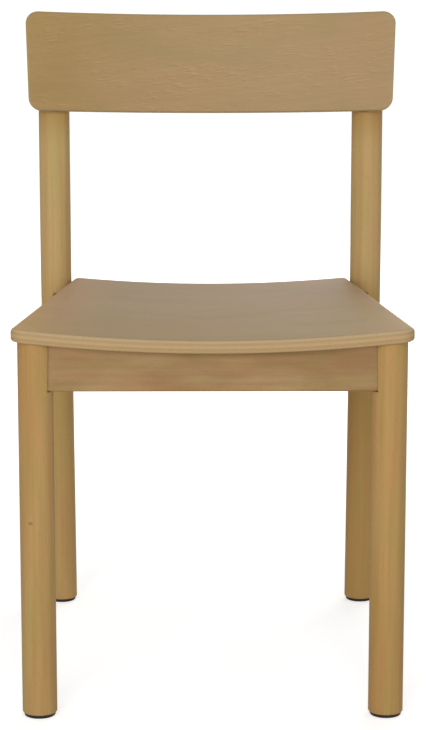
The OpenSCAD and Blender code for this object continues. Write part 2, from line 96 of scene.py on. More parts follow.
# The axis that a piece's grain runs along, and the sockets of a Mix node that mixes two colours
ALONG_X, ALONG_Y, ALONG_Z = 0, 1, 2
MIX_A, MIX_B, MIXED = 6, 7, 2


def linear(hex_colour):
    channels = [int(hex_colour[i:i + 2], 16) / 255 for i in (1, 3, 5)]
    return [c / 12.92 if c <= 0.04045 else ((c + 0.055) / 1.055) ** 2.4 for c in channels] + [1]


# Adds a shader node. A setting is one of the node's own, the stops of its ramp, or the value of a socket
def add(tree, kind, settings=None, links=None):
    node = tree.nodes.new(kind)
    for key, value in (settings or {}).items():
        if key == "stops":
            ramp = node.color_ramp
            ramp.elements[0].position = value[0][0]
            ramp.elements[1].position = value[-1][0]
            for share, _ in value[1:-1]:
                ramp.elements.new(share)
            for element, (_, colour) in zip(ramp.elements, value):
                element.color = colour
        elif isinstance(key, str) and hasattr(node, key):
            setattr(node, key, value)
        else:
            node.inputs[key].default_value = value
    for socket, source in (links or {}).items():
        tree.links.new(source, node.inputs[socket])
    return node


def bare_material(name):
    material = bpy.data.materials.new(name)
    material.use_nodes = True
    material.node_tree.nodes.clear()
    return material


def grain_size(axis, along_mm, across_mm):
    scale = [1000 / across_mm] * 3
    scale[axis] = 1000 / along_mm
    return scale


# A slow turn to another tone: a direction, where along it the turn starts and is full, and its tint
def turned_tone(tree, colour, place, direction, start, full, tint):
    way = add(tree, "ShaderNodeVectorMath", {"operation": "DOT_PRODUCT", 1: direction}, {0: place})
    part = add(tree, "ShaderNodeMapRange",
               {"interpolation_type": "SMOOTHSTEP", "From Min": start, "From Max": full},
               {"Value": way.outputs["Value"]})
    tinted = add(tree, "ShaderNodeMix", {"data_type": "RGBA", MIX_A: (1, 1, 1, 1), MIX_B: (*tint, 1)},
                 {0: part.outputs[0]})
    turned = add(tree, "ShaderNodeVectorMath", {"operation": "MULTIPLY"},
                 {0: colour, 1: tinted.outputs[MIXED]})
    return turned.outputs[0]


# Steamed beech, turned or planed, under satin lacquer: pale straw to warm tan, with soft blotches and
# streaks along the grain, fine fibres, and the short dark ray flecks that mark beech. It may turn to
# another tone on its way, and a pin knot may be given a place.
def lacquered_beech(name, axis, pale, warm, deep, cloud_mm=(330, 45), attribute="", changes=(), knot=None):
    material = bare_material(name)
    tree = material.node_tree
    if attribute:
        place = add(tree, "ShaderNodeAttribute", {"attribute_name": attribute}).outputs["Vector"]
    else:
        place = add(tree, "ShaderNodeTexCoord").outputs["Object"]

    def grain(along_mm, across_mm, detail, roughness=0.5):
        spread = add(tree, "ShaderNodeMapping", {"Scale": grain_size(axis, along_mm, across_mm)},
                     {"Vector": place})
        return add(tree, "ShaderNodeTexNoise", {"Scale": 1.0, "Detail": detail, "Roughness": roughness},
                   {"Vector": spread.outputs[0]}).outputs["Fac"]

    # Slow drift of tone in long clouds, and olive and pink blotches 17 mm wide
    drift = add(tree, "ShaderNodeValToRGB", {"stops": [(0.34, linear(pale)), (0.66, linear(warm))]},
                {"Fac": grain(*cloud_mm, 2)})
    olive, plain, pink = (0.955, 1.005, 0.925, 1), (1, 1, 1, 1), (1.035, 0.975, 0.985, 1)
    blotch = add(tree, "ShaderNodeValToRGB", {"stops": [(0.34, olive), (0.5, plain), (0.66, pink)]},
                 {"Fac": grain(85, 17, 1)})
    soft = add(tree, "ShaderNodeVectorMath", {"operation": "MULTIPLY"},
               {0: drift.outputs[0], 1: blotch.outputs[0]}).outputs[0]
    for change in changes:
        soft = turned_tone(tree, soft, place, *change)
    # Growth streaks 6 mm wide
    streak = add(tree, "ShaderNodeMapRange",
                 {"From Min": 0.38, "From Max": 0.75, "To Min": 0.0, "To Max": 0.28},
                 {"Value": grain(190, 6, 2)})
    tone = add(tree, "ShaderNodeMix", {"data_type": "RGBA", MIX_B: linear(deep)},
               {0: streak.outputs[0], MIX_A: soft})
    # Fibres are 0.3 mm wide; they are drawn 1 mm wide so that they show
    fibre = grain(38, 1.0, 2, 0.6)
    shade = add(tree, "ShaderNodeMapRange",
                {"From Min": 0.3, "From Max": 0.7, "To Min": 0.978, "To Max": 1.022}, {"Value": fibre})
    # Ray flecks are 0.3 by 2 mm; they are drawn 1 by 6 mm so that they show
    fleck = add(tree, "ShaderNodeMapRange",
                {"From Min": 0.68, "From Max": 0.78, "To Min": 0.0, "To Max": 0.21},
                {"Value": grain(6, 1.0, 0)})
    lit = add(tree, "ShaderNodeVectorMath", {"operation": "SCALE"},
              {0: tone.outputs[MIXED], "Scale": shade.outputs[0]})
    colour = add(tree, "ShaderNodeMix", {"data_type": "RGBA", MIX_B: linear(deep)},
                 {0: fleck.outputs[0], MIX_A: lit.outputs[0]})
    if knot:
        # A pin knot with a dark heart 5 mm wide and 3 mm high, and a faint halo
        away = add(tree, "ShaderNodeVectorMath", {"operation": "SUBTRACT", 1: knot}, {0: place})
        flat = add(tree, "ShaderNodeVectorMath", {"operation": "MULTIPLY", 1: (1.0, 1.0, 1.7)},
                   {0: away.outputs[0]})
        far = add(tree, "ShaderNodeVectorMath", {"operation": "LENGTH"}, {0: flat.outputs[0]})
        heart = add(tree, "ShaderNodeMapRange",
                    {"From Min": 0.0008, "From Max": 0.0042, "To Min": 0.55, "To Max": 0.0},
                    {"Value": far.outputs["Value"]})
        colour = add(tree, "ShaderNodeMix", {"data_type": "RGBA", MIX_B: linear("#6E4722")},
                     {0: heart.outputs[0], MIX_A: colour.outputs[MIXED]})
    gloss = add(tree, "ShaderNodeMapRange",
                {"From Min": 0.3, "From Max": 0.7, "To Min": 0.58, "To Max": 0.68}, {"Value": fibre})
    relief = add(tree, "ShaderNodeBump", {"Strength": 0.25, "Distance": 0.0002}, {"Height": fibre})
    surface = add(tree, "ShaderNodeBsdfPrincipled", {"IOR": 1.5, "Specular IOR Level": 0.12},
                  {"Base Color": colour.outputs[MIXED], "Roughness": gloss.outputs[0],
                   "Normal": relief.outputs[0]})
    add(tree, "ShaderNodeOutputMaterial", {}, {"Surface": surface.outputs[0]})
    return material


def only(piece):
    bpy.ops.object.select_all(action="DESELECT")
    piece.select_set(True)
    bpy.context.view_layer.objects.active = piece


# Puts a piece's place, turn and scale into its mesh, so that its object sits at the origin
def place_in_mesh(piece, name=""):
    only(piece)
    bpy.ops.object.transform_apply(location=True, rotation=True, scale=True)
    if name:
        piece.name = name
        piece.data.name = name
    return piece


def move_in_mesh(piece, turn, shift=(0, 0, 0)):
    piece.rotation_euler = turn
    piece.location = shift
    return place_in_mesh(piece)


def edit(piece, select="DESELECT"):
    only(piece)
    bpy.ops.object.mode_set(mode="EDIT")
    bpy.ops.mesh.select_mode(type="FACE")
    bpy.ops.mesh.select_all(action=select)


def end_edit():
    bpy.ops.object.mode_set(mode="OBJECT")


def pick_edges(piece, test):
    mesh = bmesh.from_edit_mesh(piece.data)
    for edge in mesh.edges:
        edge.select_set(test(edge.verts[0].co, edge.verts[1].co))
    mesh.select_flush_mode()
    bmesh.update_edit_mesh(piece.data)


# Saws off what lies beyond a plane and closes the cut
def saw(point, outwards):
    bpy.ops.mesh.select_all(action="SELECT")
    bpy.ops.mesh.bisect(plane_co=point, plane_no=outwards, clear_outer=True, use_fill=True)


def round_foot(piece):
    bpy.ops.mesh.select_mode(type="EDGE")
    pick_edges(piece, lambda a, b: max(a.z, b.z) < FOOT_Z + CLOSE)
    bpy.ops.mesh.bevel(offset=FOOT_ARRIS, segments=4, profile=0.5, affect="EDGES")


def use_modifier(piece, kind, settings):
    modifier = piece.modifiers.new(kind.title(), kind)
    for key, value in settings.items():
        setattr(modifier, key, value)
    only(piece)
    bpy.ops.object.modifier_apply(modifier=modifier.name)


def cut(piece, cutter):
    use_modifier(piece, "BOOLEAN", {"object": cutter, "operation": "DIFFERENCE", "solver": "EXACT"})
    bpy.data.objects.remove(cutter)


def underside_height(x):
    return UNDERSIDE_RADIUS - math.sqrt(UNDERSIDE_RADIUS ** 2 - x ** 2)


# Square to the seat's underside at the distance x from the middle, upwards
def underside_normal(x):
    return Vector((-x / math.sqrt(UNDERSIDE_RADIUS ** 2 - x ** 2), 0, 1))


# A block that leaves a rail's housing in a leg, closed at its own top or at the seat's underside
def housing_block(low, high, under_seat=False):
    middle = Vector([(a + b) / 2 for a, b in zip(low, high)])
    bpy.ops.mesh.primitive_cube_add(size=1, location=middle, scale=[b - a for a, b in zip(low, high)])
    block = place_in_mesh(bpy.context.object)
    if under_seat:
        edit(block)
        saw((middle.x, 0, underside_height(middle.x)), underside_normal(middle.x))
        end_edit()
    return move_in_mesh(block, SEAT_TURN.to_euler(), SEAT_ORIGIN)


def smooth(piece, degrees):
    only(piece)
    bpy.ops.object.shade_smooth_by_angle(angle=math.radians(degrees))


def mirrored(piece, name):
    other = piece.copy()
    other.data = piece.data.copy()
    bpy.context.scene.collection.objects.link(other)
    other.scale.x = -1
    place_in_mesh(other, name)
    edit(other, select="SELECT")
    bpy.ops.mesh.normals_make_consistent(inside=False)
    end_edit()
    return other


bpy.ops.mesh.primitive_cylinder_add(vertices=LEG_SIDES, radius=LEG_RADIUS, depth=LEG_BLANK_TOP - FOOT_Z,
                                    location=(LEG_X, FRONT_Y, (LEG_BLANK_TOP + FOOT_Z) / 2))
right_leg = place_in_mesh(bpy.context.object, "front_right_leg_turned")
edit(right_leg)
round_foot(right_leg)
leg_top = SEAT_ORIGIN + SEAT_TURN @ Vector((LEG_X, 0, underside_height(LEG_X)))
saw(leg_top, (SEAT_TURN @ underside_normal(LEG_X)).normalized())
end_edit()
housing_foot = -RAIL_HEIGHT - SHADOW_GAP
leg_flat_x = LEG_X - HOUSING_FLAT
cut(right_leg, housing_block((leg_flat_x - CUT_REACH, -CROSS_RAIL_HALF - JOINT_GAP, housing_foot),
                             (leg_flat_x, CROSS_RAIL_HALF + SHADOW_GAP, CUT_REACH)))
cut(right_leg, housing_block((SIDE_RAIL_INNER_X - SHADOW_GAP, HOUSING_FLAT, housing_foot),
                             (SIDE_RAIL_OUTER_X + SHADOW_GAP, HOUSING_FLAT + CUT_REACH,
                              SIDE_RAIL_RISE + SHADOW_GAP)))
left_leg = mirrored(right_leg, "front_left_leg_turned")

# Both legs share one tone, which is a little browner on the right
leg_beech = lacquered_beech("turned_beech_satin_lacquer", ALONG_Z, "#B0925D", "#AB8754", "#906635",
                            changes=[((1, 0, 0), -0.2, 0.2, (0.97, 0.925, 0.87))],
                            knot=(-0.2059, -0.2568, 0.2320))
for leg, node in ((left_leg, "front_left_leg"), (right_leg, "front_right_leg")):
    smooth(leg, degrees=30)
    leg.data.materials.append(leg_beech)
    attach(leg, "root")
    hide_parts(node)


# Back posts
# Two round beech rods of the same thickness, steam-bent a little above the seat, so that their feet stand
# back and their upper lengths lean back with the sitter. Their heads are rounded over. Each is housed for
# the back rail, a side rail and the backrest board, and is bored from behind for two bolts under plugs.

BEND = Vector((0.2025, 0.217184, 0.450))
BEND_RADIUS = 0.300
KICK = math.radians(1.5)
RAKE = math.radians(4)
SPLAY = math.radians(0.25)
BEND_TANGENT = BEND_RADIUS * math.tan((KICK + RAKE) / 2)
# The rod's lower length, measured from the bend, runs past the floor until its foot is sawn off
LOWER_REACH = 0.47
POST_TOP = 0.763718
POST_HEAD_ROUND = 0.005
# The post's axis at the rails, in the seat's frame
RAIL_POST_X = 0.202256
RAIL_POST_Y = 0.456972
# The board's hollow is centred on an axis that leans with the board
BOARD_BACK_RADIUS = 0.667
BOARD_RAKE = math.radians(9)
BOARD_AXIS = Vector((0, -0.405906, 0.819656))
BOARD_HEIGHT = 0.127
# How far the board's housing runs on above the board
HOUSING_RISE = 0.06
# The bolts' place round the board's bend, and their spacing. The holes for the plugs start on the washers
BOLT_TURN = math.radians(17.402)
BOLT_PITCH = 0.064
PLUG_HOLE_RADIUS = 0.0077
PLUG_HOLE_DEPTH = 0.06
WASHER_TOP = 0.0212


def pick_faces(piece, test):
    mesh = bmesh.from_edit_mesh(piece.data)
    for face in mesh.faces:
        face.select_set(test(face.normal))
    mesh.select_flush_mode()
    bmesh.update_edit_mesh(piece.data)


# How far a post's axis lies off the place of its bend, at the height z
def post_sway(z):
    rise = z - BEND.z
    lean = rise * math.tan(RAKE) if rise > 0 else -rise * math.tan(KICK)
    return Vector((rise * math.tan(SPLAY), lean, 0))


foot_way = Vector((0, math.sin(KICK), -math.cos(KICK)))
bpy.ops.mesh.primitive_cylinder_add(vertices=LEG_SIDES, radius=LEG_RADIUS, depth=LOWER_REACH - BEND_TANGENT,
                                    location=foot_way * (LOWER_REACH + BEND_TANGENT) / 2,
                                    rotation=(KICK, 0, 0))
right_post = place_in_mesh(bpy.context.object, "back_right_post_bent")
edit(right_post)
pick_faces(right_post, lambda normal: normal.z > 0.9)
bend_centre = (0, BEND_TANGENT * math.sin(RAKE) + BEND_RADIUS * math.cos(RAKE),
               BEND_TANGENT * math.cos(RAKE) - BEND_RADIUS * math.sin(RAKE))
bpy.ops.mesh.spin(steps=12, angle=KICK + RAKE, center=bend_centre, axis=(1, 0, 0))
upper_length = (POST_TOP - BEND.z) / math.cos(RAKE) - BEND_TANGENT
bpy.ops.mesh.extrude_region_move(TRANSFORM_OT_translate={
    "value": (0, upper_length * math.sin(RAKE), upper_length * math.cos(RAKE))})
bpy.ops.mesh.select_mode(type="EDGE")
bpy.ops.mesh.bevel(offset=POST_HEAD_ROUND, segments=7, profile=0.5, affect="EDGES")
end_edit()
move_in_mesh(right_post, (0, SPLAY, 0), BEND)
edit(right_post)
saw((0, 0, FOOT_Z), (0, 0, -1))
round_foot(right_post)
end_edit()

post_flat_x = RAIL_POST_X - HOUSING_FLAT
cut(right_post, housing_block(
    (post_flat_x - CUT_REACH, RAIL_POST_Y - CROSS_RAIL_HALF - SHADOW_GAP, housing_foot),
    (post_flat_x, RAIL_POST_Y + CROSS_RAIL_HALF + SHADOW_GAP, CUT_REACH), under_seat=True))
post_flat_y = RAIL_POST_Y - HOUSING_FLAT
cut(right_post, housing_block(
    (SIDE_RAIL_INNER_X - SHADOW_GAP, post_flat_y - CUT_REACH, housing_foot),
    (SIDE_RAIL_OUTER_X + SHADOW_GAP, post_flat_y, SIDE_RAIL_RISE + SHADOW_GAP)))

# The board's housing is open at the top, because the posts end a little below the board's upper edge
bpy.ops.mesh.primitive_cylinder_add(vertices=720, radius=BOARD_BACK_RADIUS,
                                    depth=BOARD_HEIGHT + HOUSING_RISE,
                                    location=(0, 0, HOUSING_RISE / 2 - SHADOW_GAP))
board_space = place_in_mesh(bpy.context.object)
cut(right_post, move_in_mesh(board_space, (-BOARD_RAKE, 0, 0), BOARD_AXIS))
for end in (-1, 1):
    bpy.ops.mesh.primitive_cylinder_add(vertices=64, radius=PLUG_HOLE_RADIUS, depth=PLUG_HOLE_DEPTH)
    hole = bpy.context.object
    move_in_mesh(hole, (math.radians(-90), 0, 0),
                 (0, BOARD_BACK_RADIUS + WASHER_TOP + PLUG_HOLE_DEPTH / 2, end * BOLT_PITCH / 2))
    move_in_mesh(hole, (0, 0, -BOLT_TURN))
    cut(right_post, move_in_mesh(hole, (-BOARD_RAKE, 0, 0), BOARD_AXIS))
left_post = mirrored(right_post, "back_left_post_bent")


# The grain follows the bend: each point keeps its place against the post's own leaning axis
def store_grain(piece, sway):
    grain = piece.data.attributes.new("grain", "FLOAT_VECTOR", "POINT")
    values = [c for vertex in piece.data.vertices for c in vertex.co - sway(vertex.co.z)]
    grain.data.foreach_set("vector", values)


store_grain(right_post, post_sway)
store_grain(left_post, lambda z: Vector((-1, 1, 1)) * post_sway(z))
# Painted shade: the rods turn browner below the seat, the right one more so, for the seat's and legs'
# shadow.
# Painted shade: they also turn browner at their heads, for the shadow of the board above them.
for post, node, seat_shadow_tint in ((left_post, "back_left_post", (0.99, 0.92, 0.83)),
                              (right_post, "back_right_post", (0.83, 0.715, 0.56))):
    smooth(post, degrees=30)
    post.data.materials.append(lacquered_beech(
        node + "_bent_beech_satin_lacquer", ALONG_Z, "#BFA56F", "#BA9B68", "#9C7544", attribute="grain",
        changes=[((0, 0, -1), -0.47, -0.37, seat_shadow_tint), ((0, 0, 1), 0.605, 0.655, (0.86, 0.79, 0.67))]))
    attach(post, "root")
    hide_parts(node)


# Rails
# Four planed beech rails join the legs under the seat: 45 mm high, the front and back ones 22 mm thick and
# the side ones 18 mm with flat tops. Their lower edges are rounded, and the front and back ones are shaped
# to the seat's hollow. Their ends sit in the legs' housings on two glued dowels each.


def refinish(names, material):
    for name in names:
        mesh = nodes[name].data
        mesh.materials.clear()
        mesh.materials.append(material)


# The front and back rails turn paler towards their left ends
refinish(["front_rail", "back_rail"],
         lacquered_beech("planed_beech_cross_rail", ALONG_X, "#A1845D", "#93744E", "#7A5832", (75, 20),
                         changes=[((-1, 0, 0), 0.05, 0.16, (1.10, 1.12, 1.14))]))
refinish(["left_side_rail", "right_side_rail"],
         lacquered_beech("planed_beech_side_rail", ALONG_Y, "#A1845D", "#93744E", "#7A5832", (75, 20)))
refinish(["front_rail_dowels", "back_rail_dowels"],
         lacquered_beech("fluted_beech_dowel_across", ALONG_X, "#C2A273", "#B9966A", "#9C7546"))
refinish(["left_side_rail_dowels", "right_side_rail_dowels"],
         lacquered_beech("fluted_beech_dowel_along", ALONG_Y, "#C2A273", "#B9966A", "#9C7546"))


# Corner blocks
# Four planed beech blocks, each screwed into the inner corner of two rails with two zinc-plated socket
# screws. They stiffen the frame and carry the screws that hold the seat, and are lacquered with the rails.

refinish(["front_left_corner_block", "front_right_corner_block", "back_left_corner_block",
          "back_right_corner_block"],
         lacquered_beech("planed_beech_block", ALONG_X, "#B79465", "#AE8757", "#8F663B"))


# Zinc-plated steel: a pale grey metal with a faint blue and yellow cast, blurred by fine tumbling marks
def zinc_plated(name):
    material = bare_material(name)
    tree = material.node_tree
    place = add(tree, "ShaderNodeTexCoord").outputs["Object"]
    # Cloudy passivation, about 3 mm across
    cloud = add(tree, "ShaderNodeTexNoise", {"Scale": 1000 / 3, "Detail": 3}, {"Vector": place})
    colour = add(tree, "ShaderNodeValToRGB",
                 {"stops": [(0.3, linear("#A9ACB1")), (0.7, linear("#BDBAAE"))]},
                 {"Fac": cloud.outputs["Fac"]})
    gloss = add(tree, "ShaderNodeMapRange", {"To Min": 0.28, "To Max": 0.46},
                {"Value": cloud.outputs["Fac"]})
    surface = add(tree, "ShaderNodeBsdfPrincipled", {"Metallic": 1.0},
                  {"Base Color": colour.outputs[0], "Roughness": gloss.outputs[0]})
    add(tree, "ShaderNodeOutputMaterial", {}, {"Surface": surface.outputs[0]})
    return material


zinc = zinc_plated("zinc_plated_steel_tumbled")
refinish(["corner_block_screws", "seat_screws", "seat_washers"], zinc)


# Seat panel
# Birch plywood, 15 mm thick, pressed over a former to a shallow hollow, faced with a pale straight-grained
# oak veneer whose grain runs from side to side. It tapers to the back between the posts. Its edges are
# rounded over and show the plies. Four threaded inserts in its underside take screws from the blocks.

SEAT_THICKNESS = 0.015
# The flat plate's front and back edges against the front legs' axes, and its half widths along them
SEAT_FRONT = 0.025
SEAT_BACK = -0.461972
SEAT_FRONT_HALF = 0.228039
SEAT_BACK_HALF = 0.178759
# Each corner's rounding starts this far from the corner
SEAT_FRONT_CORNER = 0.01769
SEAT_BACK_CORNER = 0.01085
SEAT_LOWER_ARRIS = 0.003
SEAT_UPPER_ARRIS = 0.0055
# How much wider the upper face is than the lower one, so that the ends are upright once the plate is bent,
# and the width of the strips that it is bent in
SEAT_TOP_SHARE = 1.00793
SEAT_STRIP = 0.0085


# Sawn, sanded plywood with an oak face veneer. On the faces: open pores as short dashes along the grain,
# wavy growth lines and broad patches of pinkish and olive tan. On the edges: alternate pale long-grain and
# slightly darker end-grain plies, each 2.4 to 3 mm thick. Satin lacquer lies over all of it.
def veneered_plywood(name, thickness, ply_tones, leaf_tones, change, pore, rim_highlight_tone, rough, shine):
    material = bare_material(name)
    tree = material.node_tree
    place = add(tree, "ShaderNodeAttribute", {"attribute_name": "grain"}).outputs["Vector"]
    # Along X lies the leaf's width, and along Y the depth through the plies
    parts = add(tree, "ShaderNodeSeparateXYZ", {}, {0: place})

    def figure(vector, size_mm, detail):
        spread = add(tree, "ShaderNodeMapping", {"Scale": [1000 / mm for mm in size_mm]},
                     {"Vector": vector})
        return add(tree, "ShaderNodeTexNoise", {"Scale": 1.0, "Detail": detail, "Roughness": 0.5},
                   {"Vector": spread.outputs[0]})

    # The growth lines lie six degrees off square, and wander by a few millimetres over a hand's width
    wander = figure(place, (150, 60, 60), 1)
    pull = add(tree, "ShaderNodeVectorMath", {"operation": "SUBTRACT", 1: (0.5, 0.5, 0.5)},
               {0: wander.outputs["Color"]})
    bent = add(tree, "ShaderNodeVectorMath", {"operation": "MULTIPLY_ADD", 1: (0.0, 0.0, 0.016)},
               {0: pull.outputs[0], 2: place})
    veneer_place = add(tree, "ShaderNodeMapping", {"Rotation": (0, math.radians(6), 0)},
                       {"Vector": bent.outputs[0]}).outputs[0]
    # The leaf's tone drifts over its width, with soft patches that lean to olive or to pink
    across = add(tree, "ShaderNodeMapRange", {"From Min": -0.24, "From Max": 0.24},
                 {"Value": parts.outputs[0]})
    leaf = add(tree, "ShaderNodeValToRGB", {"stops": [(share, linear(tone)) for share, tone in leaf_tones]},
               {"Fac": across.outputs[0]})
    olive, plain, pink = (0.93, 0.965, 0.90, 1), (1, 1, 1, 1), (1.035, 0.995, 1.015, 1)
    tint = add(tree, "ShaderNodeValToRGB", {"stops": [(0.34, olive), (0.5, plain), (0.66, pink)]},
               {"Fac": figure(place, (120, 60, 60), 2).outputs["Fac"]})
    patch = add(tree, "ShaderNodeVectorMath", {"operation": "MULTIPLY"},
                {0: leaf.outputs[0], 1: tint.outputs[0]})
    patch = turned_tone(tree, patch.outputs[0], place, *change)
    growth = add(tree, "ShaderNodeMapRange",
                 {"From Min": 0.3, "From Max": 0.7, "To Min": 0.96, "To Max": 1.035},
                 {"Value": figure(veneer_place, (160, 5, 5.5), 2).outputs["Fac"]})
    ground = add(tree, "ShaderNodeVectorMath", {"operation": "SCALE"},
                 {0: patch, "Scale": growth.outputs[0]})
    # Pores lie in drifts. They are 0.3 by 8 mm, and are drawn 1.8 by 18 mm so that they show
    drift = add(tree, "ShaderNodeMapRange",
                {"From Min": 0.40, "From Max": 0.58, "To Min": 0.08, "To Max": 1.0},
                {"Value": figure(place, (120, 60, 40), 1).outputs["Fac"]})
    pores = figure(veneer_place, (18, 3, 1.8), 1).outputs["Fac"]
    pore_depth = add(tree, "ShaderNodeMapRange",
                     {"From Min": 0.57, "From Max": 0.70, "To Min": 0.0, "To Max": 1.0}, {"Value": pores})
    beside = add(tree, "ShaderNodeVectorMath", {1: (-0.0025, 0.0, -0.0016)}, {0: veneer_place})
    # Beside each pore lies a painted highlight: a pale line where its rim would catch the light
    painted_rim_highlight = add(tree, "ShaderNodeMapRange",
               {"From Min": 0.55, "From Max": 0.68, "To Min": 0.0, "To Max": 0.24},
               {"Value": figure(beside.outputs[0], (18, 3, 1.8), 1).outputs["Fac"]})
    high = add(tree, "ShaderNodeMath", {"operation": "MULTIPLY"}, {0: painted_rim_highlight.outputs[0], 1: drift.outputs[0]})
    lit = add(tree, "ShaderNodeMix", {"data_type": "RGBA", MIX_B: linear(rim_highlight_tone)},
              {0: high.outputs[0], MIX_A: ground.outputs[0]})
    deep = add(tree, "ShaderNodeMath", {"operation": "MULTIPLY"},
               {0: pore_depth.outputs[0], 1: drift.outputs[0]})
    dark = add(tree, "ShaderNodeMath", {"operation": "MULTIPLY", 1: 0.22}, {0: deep.outputs[0]})
    face = add(tree, "ShaderNodeMix", {"data_type": "RGBA", MIX_B: linear(pore)},
               {0: dark.outputs[0], MIX_A: lit.outputs[MIXED]})

    # Depth through the plies, from 0 at one face to 1 at the other. Their lines waver a little
    depth = add(tree, "ShaderNodeMath", {"operation": "MULTIPLY", 1: 1 / thickness},
                {0: parts.outputs[1]})
    wavy = add(tree, "ShaderNodeMath", {"operation": "MULTIPLY_ADD", 1: 0.02},
               {0: figure(place, (30, 8, 30), 1).outputs["Fac"], 2: depth.outputs[0]})
    stops = []
    for ply, tone in enumerate(ply_tones):
        stops += [((ply + part) / len(ply_tones), linear(tone)) for part in (0.2, 0.8)]
    plies = add(tree, "ShaderNodeValToRGB", {"stops": stops}, {"Fac": wavy.outputs[0]})
    # End grain shows as short dots along the darker plies
    speck = add(tree, "ShaderNodeMapRange",
                {"From Min": 0.35, "From Max": 0.7, "To Min": 1.03, "To Max": 0.93},
                {"Value": figure(place, (3.5, 0.9, 3.5), 2).outputs["Fac"]})
    edge = add(tree, "ShaderNodeVectorMath", {"operation": "SCALE"},
               {0: plies.outputs[0], "Scale": speck.outputs[0]})
    # The veneer covers both faces, and the plies show from 4 % of the thickness inwards
    inside = add(tree, "ShaderNodeMath", {"operation": "PINGPONG", 1: 0.5}, {0: depth.outputs[0]})
    plies_show = add(tree, "ShaderNodeMapRange", {"From Min": 0.03, "From Max": 0.05},
                     {"Value": inside.outputs[0]})
    colour = add(tree, "ShaderNodeMix", {"data_type": "RGBA"},
                 {0: plies_show.outputs[0], MIX_A: face.outputs[MIXED], MIX_B: edge.outputs[0]})
    height = add(tree, "ShaderNodeMath", {"operation": "SUBTRACT", 0: 1.0}, {1: pore_depth.outputs[0]})
    relief = add(tree, "ShaderNodeBump", {"Strength": 0.25, "Distance": 0.0003},
                 {"Height": height.outputs[0]})
    gloss = add(tree, "ShaderNodeMapRange", {"To Min": rough - 0.06, "To Max": rough + 0.06},
                {"Value": pores})
    surface = add(tree, "ShaderNodeBsdfPrincipled", {"IOR": 1.5, "Specular IOR Level": shine},
                  {"Base Color": colour.outputs[MIXED], "Roughness": gloss.outputs[0],
                   "Normal": relief.outputs[0]})
    add(tree, "ShaderNodeOutputMaterial", {}, {"Surface": surface.outputs[0]})
    return material


# A flat plate in X and Z, cut into strips so that it can bend. Its thickness lies along Y, from the near
# face at 0 to the far one, which is far_share times as wide. The half widths and the corners are given for
# the low and the high edge, and the arrises for the near and the far face.
def plate(name, low_z, high_z, half_widths, thickness, far_share, corners, arrises, strip):
    middle = (low_z + high_z) / 2
    bpy.ops.mesh.primitive_cube_add(size=1, location=(0, thickness / 2, middle),
                                    scale=(2, thickness, high_z - low_z))
    blank = place_in_mesh(bpy.context.object, name)
    edit(blank)
    for side, half in zip((-1, 1), half_widths):
        pick_faces(blank, lambda normal: side * normal.z > 0.9)
        bpy.ops.transform.resize(value=(half, 1, 1), center_override=(0, 0, 0))
        bpy.ops.mesh.select_all(action="DESELECT")
    pick_faces(blank, lambda normal: normal.y > 0.9)
    bpy.ops.transform.resize(value=(far_share, 1, 1), center_override=(0, 0, 0))
    bpy.ops.mesh.select_mode(type="EDGE")
    for side, corner in zip((-1, 1), corners):
        pick_edges(blank, lambda a, b: abs(a.y - b.y) > thickness / 2 and side * (a.z - middle) > 0)
        bpy.ops.mesh.bevel(offset=corner, segments=12, profile=0.5, affect="EDGES")
    for depth, arris in zip((0, thickness), arrises):
        pick_edges(blank, lambda a, b: max(abs(a.y - depth), abs(b.y - depth)) < CLOSE)
        bpy.ops.mesh.bevel(offset=arris, segments=8, profile=0.5, affect="EDGES")
    steps = int(max(half_widths) / strip)
    for step in range(-steps, steps + 1):
        bpy.ops.mesh.select_all(action="SELECT")
        bpy.ops.mesh.bisect(plane_co=(step * strip, 0, 0), plane_no=(1, 0, 0))
    end_edit()
    store_grain(blank, lambda z: Vector((0, 0, 0)))
    return blank


def bend(piece, radius):
    use_modifier(piece, "SIMPLE_DEFORM", {"deform_method": "BEND", "deform_axis": "Z",
                                          "angle": piece.dimensions.x / radius})


seat = plate("seat_panel_pressed", low_z=SEAT_BACK, high_z=SEAT_FRONT,
             half_widths=(SEAT_BACK_HALF, SEAT_FRONT_HALF), thickness=SEAT_THICKNESS,
             far_share=SEAT_TOP_SHARE, corners=(SEAT_BACK_CORNER, SEAT_FRONT_CORNER),
             arrises=(SEAT_LOWER_ARRIS, SEAT_UPPER_ARRIS), strip=SEAT_STRIP)
bend(seat, UNDERSIDE_RADIUS)
move_in_mesh(seat, (math.radians(90) - SEAT_SLOPE, 0, 0), SEAT_ORIGIN)
smooth(seat, degrees=25)
# Painted reflection: the seat's face turns paler and greyer towards the front, for the white surround's
# sheen, so it is browner at the back
seat.data.materials.append(veneered_plywood(
    # The top ply is the lightest, a painted highlight along the seat's upper arris
    "pressed_birch_plywood_seat", SEAT_THICKNESS, ["#AD9064", "#A2865D", "#AF9266", "#A58960", "#B59D77"],
    # Across its width the leaf is warmer and lighter at both sides, partly its own tone and partly a
    # painted reflection of the posts
    [(0.0, "#B4894D"), (0.12, "#A07C4D"), (0.25, "#93784E"), (0.5, "#967950"), (0.8, "#987C55"),
     (1.0, "#A38252")],
    change=((0, 0, 1), -0.42, 0.0, (1.24, 1.36, 1.55)), pore="#785B34", rim_highlight_tone="#BFA574", rough=0.64,
    shine=0.28))
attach(seat, "root")
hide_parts("seat_panel")


# Brass inserts
# Eight plain threaded sleeves of free-cutting brass, turned on a lathe: four in the seat's underside and
# four in the back of the board. They are pressed flush into bored holes, and take the screws and bolts.


